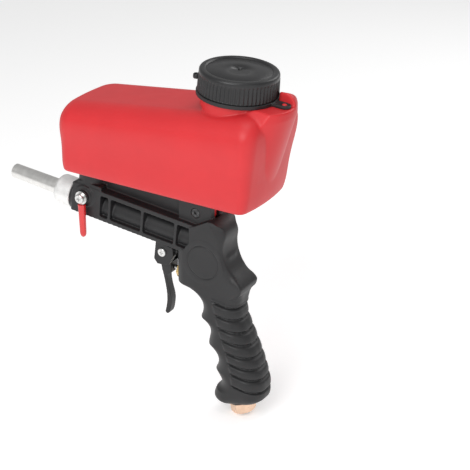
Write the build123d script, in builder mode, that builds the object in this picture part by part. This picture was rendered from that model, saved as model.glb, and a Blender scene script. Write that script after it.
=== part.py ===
from build123d import *
from math import cos, sin, sqrt, radians
import os

# Hand-held gravity-feed abrasive blaster: a pistol body with a barrel, a hopper with a screw cap
# on top of it, a trigger valve in the grip and a quarter-turn abrasive valve under the hopper.
# Millimetres. +Z up, +X towards the rear, the muzzle points to -X and the lever side is -Y.
# The origin is the centre of the air inlet's mouth, at the foot of the grip.

# ---- Driving dimensions -------------------------------------------------------------------
running_gap = 0.05            # radial clearance of everything that turns or slides

# Bore line: places along it are measured back from the muzzle, heights square to it
barrel_tilt = 6.5             # degrees, nose up
muzzle_x = -212.4
muzzle_z = 155.7
housing_front = 61.5          # front face of the valve housing
housing_rear = 92.0
bore_end = 177.0              # blind end of the bore in the body
bore_radius = 4.05

# Barrel section
flange_half_width = 12.5
flange_top = 16.6
flange_top_underside = 13.0
flange_bottom_upside = -4.5
flange_bottom = -7.9
tube_radius = 9.5
web_half_width = 3.0
rib_stations = (100.4, 130.4, 160.3)
rib_thickness = 2.4

# Nozzle and its collar
nozzle_tip_radius = 5.8
nozzle_shank_radius = 6.25
nozzle_bore_radius = 3.4
nozzle_flare_front = 64.0     # the bore opens out behind here, up to the body's bore
nozzle_tail_radius = 5.9
nozzle_flange_radius = 9.0
nozzle_flange_front = 49.1
nozzle_flange_rear = 51.2
nozzle_length = 68.0
seal_rear = 52.2
collar_front = 46.0
collar_radius = 12.0
spigot_radius = 9.5
spigot_rear = 64.4            # where the spigot ends and the valve housing starts

jet_tip = 80.2
jet_front = 84.0
jet_rear = 92.0
air_tube_bore = 3.0
air_tube_end = 170.0

# Abrasive valve: a cross-drilled spool through the housing
spool_station = 77.5
spool_height = 8.3
spool_radius = 4.0
spool_boss_radius = 8.6
spool_neck_radius = 5.2
spool_boss_face = 13.6        # distances of the boss's and neck's end faces from the middle plane
spool_neck_face = 16.0
feed_hole_radius = 2.5
lever_thickness = 1.6
lever_hang = 31.5             # from the spool's axis to the end of the steel strip
sleeve_top = 5.6              # below the spool's axis
sleeve_end = 33.0

spool_shoulder = 8.0          # +Y side: the spool's large end, its journal and the clip
spool_journal_radius = 3.0
spool_journal_end = 14.4
clip_inner = 12.6
clip_groove_radius = 2.4
spool_square = 4.4
spool_groove_radius = 3.2
spool_ring_width = 1.6
spool_ring_places = (-9.5, 7.0)
lever_screw_radius = 1.6

# Hopper socket and mounts on the body
socket_radius = 12.2
socket_top = 29.0
socket_bore_radius = 9.0
socket_floor = 13.5
fork_front_x = -51.5
fork_rear_x = -23.3
fork_top_z = 174.0
fork_half_width = 8.5
fork_slot_half = 3.3
mount_screw_x = -37.0
mount_screw_z = 161.0
mount_screw_radius = 2.0
mount_head_radius = 3.4
mount_head_seat = 6.2         # the head's and the nut's seats, from the middle plane
mount_nut_seat = 5.4
mount_nut_flat = 7.0

# Hopper shell
wall = 2.4
floor_z = 177.8               # height of the underside at X = 0, and its slope
floor_slope = -0.018
roof_z = 249.0
roof_slope = 0.1
roof_round = 18.0
floor_round = 4.0
front_edge_share = 0.35       # how much of the roof's rounding the front edge takes
hopper_front_x = -139.0
front_rake = 2.5
hopper_rear_foot = 15.5
hopper_rear_top = 28.0
hopper_half_foot = 30.8
hopper_half_top = 37.5
corner_foot = 6.5
corner_top = 12.0
rear_bulge = 3.0
front_bulge = 2.0
keel_depth = 3.4
keel_half_width = 13.0
lug_foot_z = 157.0
spout_end = 15.0              # height over the bore line
spout_top = 37.0
spout_radius = 8.9
spout_bore_radius = 6.2
neck_foot = 27.0              # below the cap's top face, inside the roof
neck_bore_overrun = 7.0
neck_zone_radius = 26.6       # the neck's and the spout's collars, cut out of the shell
neck_zone_depth = 34.0
spout_zone_radius = 14.0
boss_front_x = 8.0
boss_rear_x = 37.5
boss_top_z = 261.5
boss_radius = 24.0
boss_plan_radius = 30.0
boss_shoulder = 12.0
boss_foot_x = 17.5           # the boss grows out of the rear wall from here
boss_foot_z = 182.0
boss_wall_top_z = 246.0

# Cap, measured down the cap's axis from its top face
cap_tilt = 4.9                # degrees, leaning to the rear
cap_top_x = -4.3
cap_top_z = 274.1
cap_radius_top = 28.2
cap_radius_foot = 28.7
cap_depth = 16.0
cap_bore_radius = 25.0
cap_plate = 2.6
liner_thickness = 1.5
neck_radius = 24.9
neck_bore_radius = 21.0
neck_rim = 4.15
ring_top = 16.3
ring_foot = 19.0
ring_radius = 29.5
shoulder_radius = 26.2
strap_reach = 37.0            # from the cap's axis to the strap's peg
strap_half_width = 4.6
peg_radius = 1.9
strap_thickness = 2.0
cap_ribs = 60
cap_rib_height = 11.0
cap_recess_radius = 23.5
cap_eye_angle = 205.0         # degrees about the cap's axis, from the rear
vent_radius = 1.5

# Trigger and air valve
pivot_x = -66.5
pivot_z = 122.6
pivot_radius = 2.0
lug_half_width = 4.2
lug_radius = 7.0
cheek_half_width = 9.0
blade_half_width = 3.4
pad_half_width = 5.0
stem_tip_x = -61.35
stem_z = 108.0
stem_radius = 2.0
valve_bore_radius = 5.0
valve_bore_front = 7.6        # distances along the stem from its tip
valve_bore_end = 42.0
gland_front = 4.8
seat_front = 22.0
seat_rear = 25.0
poppet_rear = 28.0
poppet_radius = 4.2
seat_hole_radius = 2.9
gland_end = 16.0
gland_flat = 11.0
stem_ring_width = 2.4
stem_ring_radius = 3.6
outlet_passage = 18.5
spring_wire = 0.4
spring_radius = 3.3
spring_turns = 5

# Inlet at the foot of the grip
inlet_lean = 13.2             # degrees, pointing down and to the rear
inlet_thread_radius = 5.7     # quarter-inch pipe thread, minor radius
inlet_socket_radius = 7.9
inlet_flat = 17.0             # across the hexagon's flats
inlet_hex_height = 7.9
inlet_thread_length = 13.0
filter_front = 13.5
inlet_shank_end = 20.0
inlet_socket_end = 20.5
filter_radius = 4.2
air_passage_radius = 3.5
grip_foot = 8.7               # the foot's plane, measured up the inlet from its mouth
heel_top = 17.0               # where the grip's heel ends

# ---- Frames ---------------------------------------------------------------------------------
rearward = Vector(cos(radians(barrel_tilt)), 0, -sin(radians(barrel_tilt)))
off_bore = Vector(sin(radians(barrel_tilt)), 0, cos(radians(barrel_tilt)))
muzzle = Vector(muzzle_x, 0, muzzle_z)
barrel_side = Plane(origin=muzzle, x_dir=rearward, z_dir=(0, -1, 0))
bore_axis = Axis(muzzle, rearward)


def on_bore(station, height=0.0, y=0.0):
    """World point at a station behind the muzzle and a height above the bore line."""
    return muzzle + rearward * station + off_bore * height + Vector(0, y, 0)


def square_to_bore(height):
    """Plane over the abrasive valve, a height above the bore line, its normal pointing away."""
    return Plane(origin=on_bore(spool_station, height), x_dir=(0, 1, 0), z_dir=off_bore)


def across_bore(station, height=0.0):
    """Plane square to the bore line, its normal pointing to the rear."""
    return Plane(origin=on_bore(station, height), x_dir=(0, 1, 0), z_dir=rearward)


def facing_side(x, z, y=0.0):
    """Plane parallel to the middle plane, its normal pointing to the lever side."""
    return Plane(origin=(x, y, z), x_dir=(1, 0, 0), z_dir=(0, -1, 0))


cap_axis = Vector(sin(radians(cap_tilt)), 0, cos(radians(cap_tilt)))
cap_rearward = Vector(cos(radians(cap_tilt)), 0, -sin(radians(cap_tilt)))
cap_top = Vector(cap_top_x, 0, cap_top_z)


def under_cap(depth):
    """Plane square to the cap's axis, a depth below the cap's top face."""
    return Plane(origin=cap_top - cap_axis * depth, x_dir=cap_rearward, z_dir=cap_axis)


cap_side = Plane(origin=cap_top, x_dir=cap_rearward, z_dir=(0, 1, 0))
stem_tip = Vector(stem_tip_x, 0, stem_z)
valve_side = Plane(origin=stem_tip, x_dir=rearward, z_dir=(0, -1, 0))
stem_axis = Axis(stem_tip, rearward)


def across_stem(distance):
    """Plane square to the valve stem, its normal pointing to the rear."""
    return Plane(origin=stem_tip + rearward * distance, x_dir=(0, 1, 0), z_dir=rearward)


inlet_inward = Vector(-sin(radians(inlet_lean)), 0, cos(radians(inlet_lean)))


def up_inlet(distance):
    """Plane square to the air inlet, a distance inside its mouth, normal pointing inwards."""
    return Plane(origin=inlet_inward * distance, x_dir=(0, 1, 0), z_dir=inlet_inward)


inlet_side = Plane(origin=(0, 0, 0), x_dir=(cos(radians(inlet_lean)), 0, sin(radians(inlet_lean))),
                   z_dir=(0, -1, 0))
inlet_axis = Axis((0, 0, 0), inlet_inward)
spool_centre = on_bore(spool_station, spool_height)

os.makedirs("parts", exist_ok=True)


def save(piece, node):
    """Label one finished piece and write it as its own STEP file."""
    piece.part.label = node
    export_step(piece.part, f"parts/{node}.step")


# ---- Gun body -------------------------------------------------------------------------------
# Grip sections, bottom to top: height, front X, rear X, half width, corner radius
grip_sections = (
    (0.0, -20.5, 17.0, 13.0, 11.0),
    (8.0, -22.3, 19.6, 14.6, 12.4),
    (20.0, -22.0, 20.6, 15.2, 13.0),
    (35.0, -22.3, 18.6, 15.2, 13.0),
    (52.0, -27.6, 13.4, 15.0, 12.8),
    (73.0, -34.2, 5.2, 14.4, 12.2),
    (90.0, -40.0, -0.4, 13.4, 11.0),
    (100.0, -43.0, 1.2, 13.0, 9.0),
    (108.0, -43.0, 3.0, 12.8, 8.0),
)
finger_valleys = ((-32.6, 86.2), (-26.4, 64.3), (-19.2, 44.4), (-16.3, 23.9))   # deepest points, X and Z
finger_radius = 12.5
grip_top_z = 98.0
valve_housing_half_width = 13.0
ridge_count = 8
ridge_groove = 1.3            # how deep the grooves cut the grip's skin
groove_width = 2.0
groove_length = 48.0
groove_fall = 9.0             # degrees, down towards the rear
groove_pitch = 9.57
groove_lean = 3.1             # each groove's step to the front of the one below it
groove_foot_x = 13.0
groove_foot_z = 25.0

with BuildPart() as grip_core:
    for z, front, rear, half, corner in grip_sections:
        with BuildSketch(Plane.XY.offset(z)):
            with Locations(((front + rear) / 2, 0)):
                RectangleRounded(rear - front, 2 * half, corner)
    loft()

with BuildPart() as grip_inner:
    for z, front, rear, half, corner in grip_sections:
        with BuildSketch(Plane.XY.offset(z)):
            with Locations(((front + rear) / 2, 0)):
                RectangleRounded(rear - front - 2 * ridge_groove, 2 * (half - ridge_groove),
                                 corner - ridge_groove)
    loft()

# Slanted slabs that cut the grip's grooves, kept to its skin by taking the inner form away
with BuildPart() as groove_cutter:
    for ridge in range(ridge_count):
        with BuildSketch(Plane.XZ):
            middle = (groove_foot_x - groove_lean * ridge, groove_foot_z + groove_pitch * ridge)
            with Locations(Location(middle, -groove_fall)):
                SlotOverall(groove_length, groove_width)
        extrude(amount=20, both=True)
    add(grip_inner.part, mode=Mode.SUBTRACT)
    with BuildSketch(Plane.XZ):
        with BuildLine():
            Polyline((-45, 110), (-45, -10), (-2, -10), (-2, 18), (-18.5, 84), (-18.5, 110), close=True)
        make_face()
    extrude(amount=20, both=True, mode=Mode.SUBTRACT)

with BuildPart() as moulding:
    # Barrel: a flanged plate with recessed bays, and the round tube through it
    with BuildSketch(barrel_side):
        with BuildLine():
            Polyline((housing_front + 4, flange_bottom), (186, flange_bottom), (194, flange_top),
                     (housing_front + 4, flange_top), close=True)
        make_face()
    extrude(amount=flange_half_width, both=True)
    bay_edges = (housing_rear,) + rib_stations + (192.0,)
    for front, rear in zip(bay_edges, bay_edges[1:]):
        inset_front = 0 if front == housing_rear else rib_thickness / 2
        inset_rear = rib_thickness / 2 if rear < 190 else 0
        length = rear - front - inset_front - inset_rear
        middle = (front + inset_front + rear - inset_rear) / 2
        for side in (-1, 1):
            with BuildSketch(Plane(origin=on_bore(middle, 0, side * web_half_width),
                                   x_dir=rearward, z_dir=(0, side, 0))):
                with Locations((0, -side * (flange_top_underside + flange_bottom_upside) / 2)):
                    RectangleRounded(length, flange_top_underside - flange_bottom_upside, 1.2)
            extrude(amount=flange_half_width, mode=Mode.SUBTRACT)
    with BuildSketch(across_bore(housing_front)):
        Circle(tube_radius)
    extrude(amount=190 - housing_front)
    # Housing of the abrasive valve, with the hopper's socket standing on it
    with BuildSketch(barrel_side):
        with BuildLine():
            Polyline((housing_front + 3, flange_bottom), (housing_rear, flange_bottom),
                     (housing_rear, flange_top + 3), (housing_front + 9, flange_top + 3),
                     (housing_front + 3, 9), close=True)
        make_face()
    extrude(amount=flange_half_width - 0.5, both=True)
    with BuildSketch(across_bore(housing_front)):
        Circle(collar_radius - 0.4)
    extrude(amount=6)
    with BuildSketch(across_bore(seal_rear)):
        Circle(spigot_radius)
    extrude(amount=housing_front - seal_rear)
    with BuildSketch(square_to_bore(10)):
        Circle(socket_radius)
    extrude(amount=socket_top - 10)
    with BuildSketch(facing_side(spool_centre.X, spool_centre.Z)):
        Circle(spool_boss_radius)
    extrude(amount=spool_boss_face)
    with BuildSketch(facing_side(spool_centre.X, spool_centre.Z)):
        Circle(spool_neck_radius)
    extrude(amount=spool_neck_face)
    # Web on top of the barrel and the fork that takes the hopper's rear lug
    with BuildSketch(Plane.XZ):
        with BuildLine():
            Polyline((-126, 160), (fork_front_x + 1, 150), (fork_front_x + 1, 169), (-126, 172),
                     close=True)
        make_face()
    extrude(amount=4.5, both=True)
    with BuildSketch(Plane.XZ):
        with BuildLine():
            Polyline((fork_front_x, 148), (fork_rear_x, 146), (fork_rear_x, fork_top_z),
                     (fork_front_x, fork_top_z), close=True)
        make_face()
    extrude(amount=fork_half_width, both=True)
    # Air-valve housing ahead of the grip, its round side panel and the trigger's lug
    with BuildSketch(Plane.XY.offset(98)):
        with Locations((-32, 0)):
            RectangleRounded(44, 2 * valve_housing_half_width, 9)
    extrude(amount=33)
    with BuildSketch(facing_side(-28.4, 124.7)):
        Circle(17.5)
    extrude(amount=13, both=True)
    with BuildSketch(facing_side(-28.4, 124.7)):
        Circle(13.2)
    extrude(amount=13.8, both=True)
    with BuildSketch(Plane.XZ):
        with Locations((pivot_x, pivot_z)):
            Circle(lug_radius)
        with Locations((pivot_x, pivot_z + 6)):
            Rectangle(2 * lug_radius, 12)
    extrude(amount=lug_half_width, both=True)
    # Upper rear of the body, down to the tang over the web of the hand
    with BuildSketch(Plane.XZ):
        with BuildLine():
            Spline((-24, 158.6), (-15.5, 156.6), (-10.8, 150.0), (-12.3, 140.0), (-11.2, 130.5),
                   (-6.5, 121.5), (1.5, 113.5), (4.6, 109.4))
            Polyline((4.6, 109.4), (3.2, 104.5), (-3, 100), (-40, 100), (-40, 150), (-24, 158.6))
        make_face()
    extrude(amount=valve_housing_half_width, both=True)
    add(grip_core.part)
    add(groove_cutter.part, mode=Mode.SUBTRACT)
    for x, z in finger_valleys:
        with BuildSketch(facing_side(x - finger_radius, z)):
            Circle(finger_radius)
        extrude(amount=20, both=True, mode=Mode.SUBTRACT)
    # Foot of the grip, square to the inlet
    with BuildSketch(up_inlet(grip_foot)):
        Rectangle(80, 80)
    extrude(amount=-40, mode=Mode.SUBTRACT)
    # Bore, nozzle seat and the passages of the abrasive
    with BuildSketch(across_bore(seal_rear - 1)):
        Circle(nozzle_tail_radius + 0.1)
    extrude(amount=nozzle_length + 2 - seal_rear, mode=Mode.SUBTRACT)
    with BuildSketch(across_bore(nozzle_length)):
        Circle(bore_radius)
    extrude(amount=bore_end - nozzle_length, mode=Mode.SUBTRACT)
    with BuildSketch(square_to_bore(0)):
        Circle(feed_hole_radius)
    extrude(amount=socket_top, mode=Mode.SUBTRACT)
    with BuildSketch(square_to_bore(socket_floor)):
        Circle(socket_bore_radius)
    extrude(amount=socket_top, mode=Mode.SUBTRACT)
    with BuildSketch(facing_side(spool_centre.X, spool_centre.Z, spool_shoulder)):
        Circle(spool_radius + running_gap)
    extrude(amount=spool_shoulder + spool_neck_face + 1, mode=Mode.SUBTRACT)
    with BuildSketch(facing_side(spool_centre.X, spool_centre.Z, spool_shoulder + 10)):
        Circle(spool_journal_radius + running_gap)
    extrude(amount=12, mode=Mode.SUBTRACT)
    # Slot of the fork, its cross hole, the screw's counterbore and the nut's pocket
    with BuildSketch(Plane.XZ):
        with BuildLine():
            Polyline((fork_front_x - 1, 157), (fork_rear_x + 1, 154), (fork_rear_x + 1, 180),
                     (fork_front_x - 1, 180), close=True)
        make_face()
    extrude(amount=fork_slot_half, both=True, mode=Mode.SUBTRACT)
    with BuildSketch(facing_side(mount_screw_x, mount_screw_z)):
        Circle(mount_screw_radius + running_gap)
    extrude(amount=20, both=True, mode=Mode.SUBTRACT)
    with BuildSketch(facing_side(mount_screw_x, mount_screw_z, -mount_head_seat)):
        Circle(mount_head_radius + 0.3)
    extrude(amount=10, mode=Mode.SUBTRACT)
    with BuildSketch(facing_side(mount_screw_x, mount_screw_z, mount_nut_seat)):
        RegularPolygon(mount_nut_flat / 2 + 0.1, 6, major_radius=False)
    extrude(amount=-10, mode=Mode.SUBTRACT)
    # Trigger pivot, air-valve bore, and the passages from the inlet and to the barrel
    with BuildSketch(facing_side(pivot_x, pivot_z)):
        Circle(pivot_radius + 0.02)
    extrude(amount=20, both=True, mode=Mode.SUBTRACT)
    with BuildSketch(across_stem(valve_bore_front - 3)):
        Circle(valve_bore_radius)
    extrude(amount=valve_bore_end - valve_bore_front + 3, mode=Mode.SUBTRACT)
    with BuildSketch(across_stem(valve_bore_front)):
        Circle(gland_flat / 2 + 1.6)
    extrude(amount=-5, mode=Mode.SUBTRACT)
    with BuildSketch(Plane(origin=stem_tip + rearward * outlet_passage, x_dir=(0, 1, 0),
                           z_dir=off_bore)):
        Circle(feed_hole_radius)
    extrude(amount=30, mode=Mode.SUBTRACT)
    with BuildSketch(up_inlet(0)):
        Circle(inlet_socket_radius)
    extrude(amount=inlet_socket_end, mode=Mode.SUBTRACT)
    with BuildSketch(up_inlet(inlet_socket_end)):
        Circle(air_passage_radius)
    extrude(amount=106 - inlet_socket_end, mode=Mode.SUBTRACT)

# The moulding's six stretches, which meet face to face
with BuildPart() as nozzle_spigot:
    add(moulding.part)
    split(bisect_by=across_bore(spigot_rear), keep=Keep.BOTTOM)
save(nozzle_spigot, "nozzle_spigot")

with BuildPart() as valve_housing:
    add(moulding.part)
    split(bisect_by=across_bore(spigot_rear), keep=Keep.TOP)
    split(bisect_by=across_bore(housing_rear), keep=Keep.BOTTOM)
    split(bisect_by=square_to_bore(socket_floor), keep=Keep.BOTTOM)
save(valve_housing, "valve_housing")

with BuildPart() as hopper_socket:
    add(moulding.part)
    split(bisect_by=across_bore(spigot_rear), keep=Keep.TOP)
    split(bisect_by=across_bore(housing_rear), keep=Keep.BOTTOM)
    split(bisect_by=square_to_bore(socket_floor), keep=Keep.TOP)
save(hopper_socket, "hopper_socket")

with BuildPart() as grip_heel:
    add(moulding.part)
    split(bisect_by=up_inlet(heel_top), keep=Keep.BOTTOM)
save(grip_heel, "grip_heel")

with BuildPart() as pistol_grip:
    add(moulding.part)
    split(bisect_by=up_inlet(heel_top), keep=Keep.TOP)
    split(bisect_by=Plane.XY.offset(grip_top_z), keep=Keep.BOTTOM)
save(pistol_grip, "pistol_grip")

with BuildPart() as gun_body:
    add(moulding.part)
    split(bisect_by=across_bore(housing_rear), keep=Keep.TOP)
    split(bisect_by=Plane.XY.offset(grip_top_z), keep=Keep.TOP)
save(gun_body, "gun_body")


# ---- Nozzle, collar and barrel tube ---------------------------------------------------------
def revolved_about(side_plane, axis, outline):
    """Solid of revolution from an outline of (along the axis, radius) points."""
    with BuildPart() as turned:
        with BuildSketch(side_plane):
            with BuildLine():
                Polyline(*outline, close=True)
            make_face()
        revolve(axis=axis)
    return turned


nozzle = revolved_about(barrel_side, bore_axis, (
    (0, nozzle_bore_radius), (0, nozzle_tip_radius - 0.6), (0.6, nozzle_tip_radius),
    (collar_front, nozzle_shank_radius), (nozzle_flange_front, nozzle_shank_radius),
    (nozzle_flange_front, nozzle_flange_radius), (nozzle_flange_rear, nozzle_flange_radius),
    (nozzle_flange_rear, nozzle_tail_radius), (nozzle_length, nozzle_tail_radius),
    (nozzle_length, bore_radius), (nozzle_flare_front, nozzle_bore_radius)))
save(nozzle, "nozzle")

with BuildPart() as nozzle_collar:
    with BuildSketch(barrel_side):
        with BuildLine():
            Line((collar_front, nozzle_shank_radius + running_gap), (collar_front, collar_radius - 3))
            RadiusArc((collar_front, collar_radius - 3), (collar_front + 3, collar_radius), 3)
            Polyline((collar_front + 3, collar_radius), (housing_front - 0.6, collar_radius),
                     (housing_front - 0.1, collar_radius - 0.5), (housing_front - 0.1, spigot_radius + 0.1),
                     (nozzle_flange_front - 0.05, spigot_radius + 0.1),
                     (nozzle_flange_front - 0.05, nozzle_shank_radius + running_gap),
                     (collar_front, nozzle_shank_radius + running_gap))
        make_face()
    revolve(axis=bore_axis)
save(nozzle_collar, "nozzle_collar")

nozzle_seal = revolved_about(barrel_side, bore_axis, (
    (nozzle_flange_rear, nozzle_tail_radius + 0.1), (nozzle_flange_rear, nozzle_flange_radius),
    (seal_rear, nozzle_flange_radius), (seal_rear, nozzle_tail_radius + 0.1)))
save(nozzle_seal, "nozzle_seal")

air_jet = revolved_about(barrel_side, bore_axis, (
    (jet_tip, 1.0), (jet_tip, 1.8), (jet_front, 3.4), (jet_front, bore_radius - running_gap),
    (jet_rear, bore_radius - running_gap), (jet_rear, air_tube_bore), (jet_front + 2, air_tube_bore),
    (jet_front, 1.0)))
save(air_jet, "air_jet")

air_tube = revolved_about(barrel_side, bore_axis, (
    (jet_rear, air_tube_bore), (jet_rear, bore_radius - running_gap),
    (air_tube_end, bore_radius - running_gap), (air_tube_end, air_tube_bore)))
save(air_tube, "air_tube")

# ---- Abrasive valve: spool, rings, clip, lever, washer, screw and sleeve --------------------
with BuildPart() as feed_valve_spool:
    with BuildSketch(facing_side(spool_centre.X, spool_centre.Z, spool_shoulder - 0.1)):
        Circle(spool_radius)
    extrude(amount=spool_shoulder - 0.1 + spool_neck_face - 0.1)
    with BuildSketch(facing_side(spool_centre.X, spool_centre.Z, spool_journal_end)):
        Circle(spool_journal_radius)
    extrude(amount=spool_journal_end - spool_shoulder + 0.1)
    with BuildSketch(facing_side(spool_centre.X, spool_centre.Z, -spool_neck_face + 0.1)):
        Rectangle(spool_square, spool_square)
    extrude(amount=lever_thickness - 0.1)
    for ring_y in spool_ring_places:
        with BuildSketch(facing_side(spool_centre.X, spool_centre.Z, ring_y)):
            Circle(spool_radius + 1)
            Circle(spool_groove_radius, mode=Mode.SUBTRACT)
        extrude(amount=spool_ring_width, mode=Mode.SUBTRACT)
    with BuildSketch(facing_side(spool_centre.X, spool_centre.Z, clip_inner + 0.8)):
        Circle(spool_journal_radius + 1)
        Circle(clip_groove_radius, mode=Mode.SUBTRACT)
    extrude(amount=0.8, mode=Mode.SUBTRACT)
    with BuildSketch(facing_side(spool_centre.X, spool_centre.Z, -8)):
        Circle(lever_screw_radius)
    extrude(amount=12, mode=Mode.SUBTRACT)
    with BuildSketch(square_to_bore(spool_height - spool_radius - 1)):
        Circle(feed_hole_radius)
    extrude(amount=2 * spool_radius + 2, mode=Mode.SUBTRACT)
save(feed_valve_spool, "feed_valve_spool")

with BuildPart() as spool_rings:
    for ring_y in spool_ring_places:
        with BuildSketch(facing_side(spool_centre.X, spool_centre.Z, ring_y - 0.1)):
            Circle(spool_radius + 0.02)
            Circle(spool_groove_radius, mode=Mode.SUBTRACT)
        extrude(amount=spool_ring_width - 0.2)
save(spool_rings, "spool_rings")

with BuildPart() as spool_clip:
    with BuildSketch(facing_side(spool_centre.X, spool_centre.Z, clip_inner + 0.7)):
        Circle(spool_radius + 1.2)
        Circle(clip_groove_radius, mode=Mode.SUBTRACT)
        with Locations((0, 4)):
            Rectangle(3, 8, mode=Mode.SUBTRACT)
    extrude(amount=0.6)
save(spool_clip, "spool_clip")

with BuildPart() as feed_lever:
    with BuildSketch(facing_side(spool_centre.X, spool_centre.Z, -spool_neck_face - running_gap)):
        Circle(spool_neck_radius)
        with Locations((0, -lever_hang / 2)):
            SlotOverall(lever_hang + 3.6, 3.6, rotation=90)
        Rectangle(spool_square + 0.1, spool_square + 0.1, mode=Mode.SUBTRACT)
    extrude(amount=lever_thickness - running_gap)
save(feed_lever, "feed_lever")

lever_outer = -spool_neck_face - lever_thickness
with BuildPart() as lever_washer:
    with BuildSketch(facing_side(spool_centre.X, spool_centre.Z, lever_outer)):
        Circle(4.4)
        Circle(lever_screw_radius + 0.1, mode=Mode.SUBTRACT)
    extrude(amount=0.8)
save(lever_washer, "lever_washer")

with BuildPart() as lever_screw:
    with BuildSketch(facing_side(spool_centre.X, spool_centre.Z, lever_outer - 0.8)):
        Circle(3.8)
    extrude(amount=2.3)
    fillet(lever_screw.edges().group_by(Axis.Y)[0], 1.1)
    with BuildSketch(facing_side(spool_centre.X, spool_centre.Z, lever_outer - 2.1)):
        Rectangle(3.8, 0.9)
        Rectangle(0.9, 3.8)
    extrude(amount=3, mode=Mode.SUBTRACT)
    with BuildSketch(facing_side(spool_centre.X, spool_centre.Z, lever_outer - 0.8)):
        Circle(lever_screw_radius - 0.02)
    extrude(amount=-8)
save(lever_screw, "lever_screw")

with BuildPart() as lever_sleeve:
    with BuildSketch(Plane(origin=(spool_centre.X, -spool_neck_face - lever_thickness / 2,
                                   spool_centre.Z - sleeve_top), z_dir=(0, 0, -1))):
        RectangleRounded(5.4, 4.4, 1.9)
    extrude(amount=sleeve_end - sleeve_top)
    fillet(lever_sleeve.edges().group_by(Axis.Z)[0], 1.8)
    add(feed_lever.part, mode=Mode.SUBTRACT)
save(lever_sleeve, "lever_sleeve")

# ---- Trigger and its pivot ------------------------------------------------------------------
with BuildPart() as trigger:
    # Curved blade
    with BuildSketch(Plane.XZ):
        with BuildLine():
            Line((-65.4, 107.0), (-72.3, 110.8))
            Spline((-72.3, 110.8), (-70.1, 101.5), (-67.9, 90.7), (-67.0, 81.5), (-67.8, 73.9),
                   (-69.0, 69.2))
            ThreePointArc((-69.0, 69.2), (-67.5, 67.4), (-65.6, 68.4))
            Spline((-65.6, 68.4), (-64.3, 72.0), (-63.7, 75.4), (-63.3, 81.9), (-65.0, 89.7),
                   (-66.6, 99.9), (-65.4, 107.0))
        make_face()
    extrude(amount=blade_half_width, both=True)
    # Pad that pushes the stem, and the cheeks on both sides of the body's lug
    with BuildSketch(Plane.XZ):
        with BuildLine():
            Polyline((-61.6, 104.5), (-61.6, 113.0), (-71.0, 113.0), (-70.0, 105.0), (-66.4, 101.0),
                     close=True)
        make_face()
    extrude(amount=pad_half_width, both=True)
    with BuildSketch(Plane.XZ):
        with BuildLine():
            Polyline((-61.6, 112.4), (-57.0, 121.0), (-57.4, 127.6), (-72.4, 130.4), (-74.4, 115.6),
                     (-71.4, 111.6), close=True)
        make_face()
    extrude(amount=cheek_half_width, both=True)
    with BuildSketch(Plane.XZ):
        with Locations((pivot_x, pivot_z + 5)):
            Rectangle(30, 28)
    extrude(amount=lug_half_width + 0.1, both=True, mode=Mode.SUBTRACT)
    with BuildSketch(facing_side(pivot_x, pivot_z)):
        Circle(pivot_radius + running_gap)
    extrude(amount=20, both=True, mode=Mode.SUBTRACT)
save(trigger, "trigger")

with BuildPart() as trigger_pivot_pin:
    with BuildSketch(facing_side(pivot_x, pivot_z, cheek_half_width + 1.6)):
        Circle(pivot_radius)
    extrude(amount=2 * cheek_half_width + 1.6 + 0.1)
    with BuildSketch(facing_side(pivot_x, pivot_z, -cheek_half_width - 0.1)):
        Circle(3.4)
    extrude(amount=1.7)
    fillet(trigger_pivot_pin.edges().group_by(Axis.Y)[0], 0.8)
    with BuildSketch(facing_side(pivot_x, pivot_z, -cheek_half_width - 1.2)):
        Rectangle(3.4, 0.8)
        Rectangle(0.8, 3.4)
    extrude(amount=2, mode=Mode.SUBTRACT)
    with BuildSketch(facing_side(pivot_x, pivot_z, cheek_half_width + 1.0)):
        Circle(pivot_radius + 1)
        Circle(pivot_radius - 0.5, mode=Mode.SUBTRACT)
    extrude(amount=0.8, mode=Mode.SUBTRACT)
save(trigger_pivot_pin, "trigger_pivot_pin")

with BuildPart() as pivot_clip:
    with BuildSketch(facing_side(pivot_x, pivot_z, cheek_half_width + 0.9)):
        Circle(3.8)
        Circle(pivot_radius - 0.5, mode=Mode.SUBTRACT)
        with Locations((3, 0)):
            Rectangle(6, 2.4, mode=Mode.SUBTRACT)
    extrude(amount=0.6)
save(pivot_clip, "pivot_clip")

# ---- Air valve ------------------------------------------------------------------------------
valve_stem = revolved_about(valve_side, stem_axis, (
    (0, 0), (0, stem_radius - 0.6), (0.6, stem_radius), (seat_rear + 0.05, stem_radius),
    (seat_rear + 0.05, poppet_radius), (poppet_rear, poppet_radius), (poppet_rear, 1.6),
    (poppet_rear + 6, 1.6), (poppet_rear + 6, 0)))
save(valve_stem, "valve_stem")

with BuildPart() as stem_gland:
    with BuildSketch(across_stem(gland_front)):
        RegularPolygon(gland_flat / 2, 6, major_radius=False)
    extrude(amount=valve_bore_front - gland_front)
    with BuildSketch(across_stem(valve_bore_front)):
        Circle(valve_bore_radius - 0.02)
    extrude(amount=gland_end - valve_bore_front)
    with BuildSketch(across_stem(0)):
        Circle(stem_radius + running_gap)
    extrude(amount=30, mode=Mode.SUBTRACT)
    with BuildSketch(across_stem(gland_end - stem_ring_width)):
        Circle(stem_ring_radius)
    extrude(amount=10, mode=Mode.SUBTRACT)
save(stem_gland, "stem_gland")

stem_ring = revolved_about(valve_side, stem_axis, (
    (gland_end - stem_ring_width, stem_radius + 0.02), (gland_end - stem_ring_width, stem_ring_radius),
    (gland_end - 0.2, stem_ring_radius), (gland_end - 0.2, stem_radius + 0.02)))
save(stem_ring, "stem_ring")

valve_seat = revolved_about(valve_side, stem_axis, (
    (seat_front, seat_hole_radius), (seat_front, valve_bore_radius - 0.02),
    (seat_rear, valve_bore_radius - 0.02), (seat_rear, seat_hole_radius)))
save(valve_seat, "valve_seat")

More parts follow.
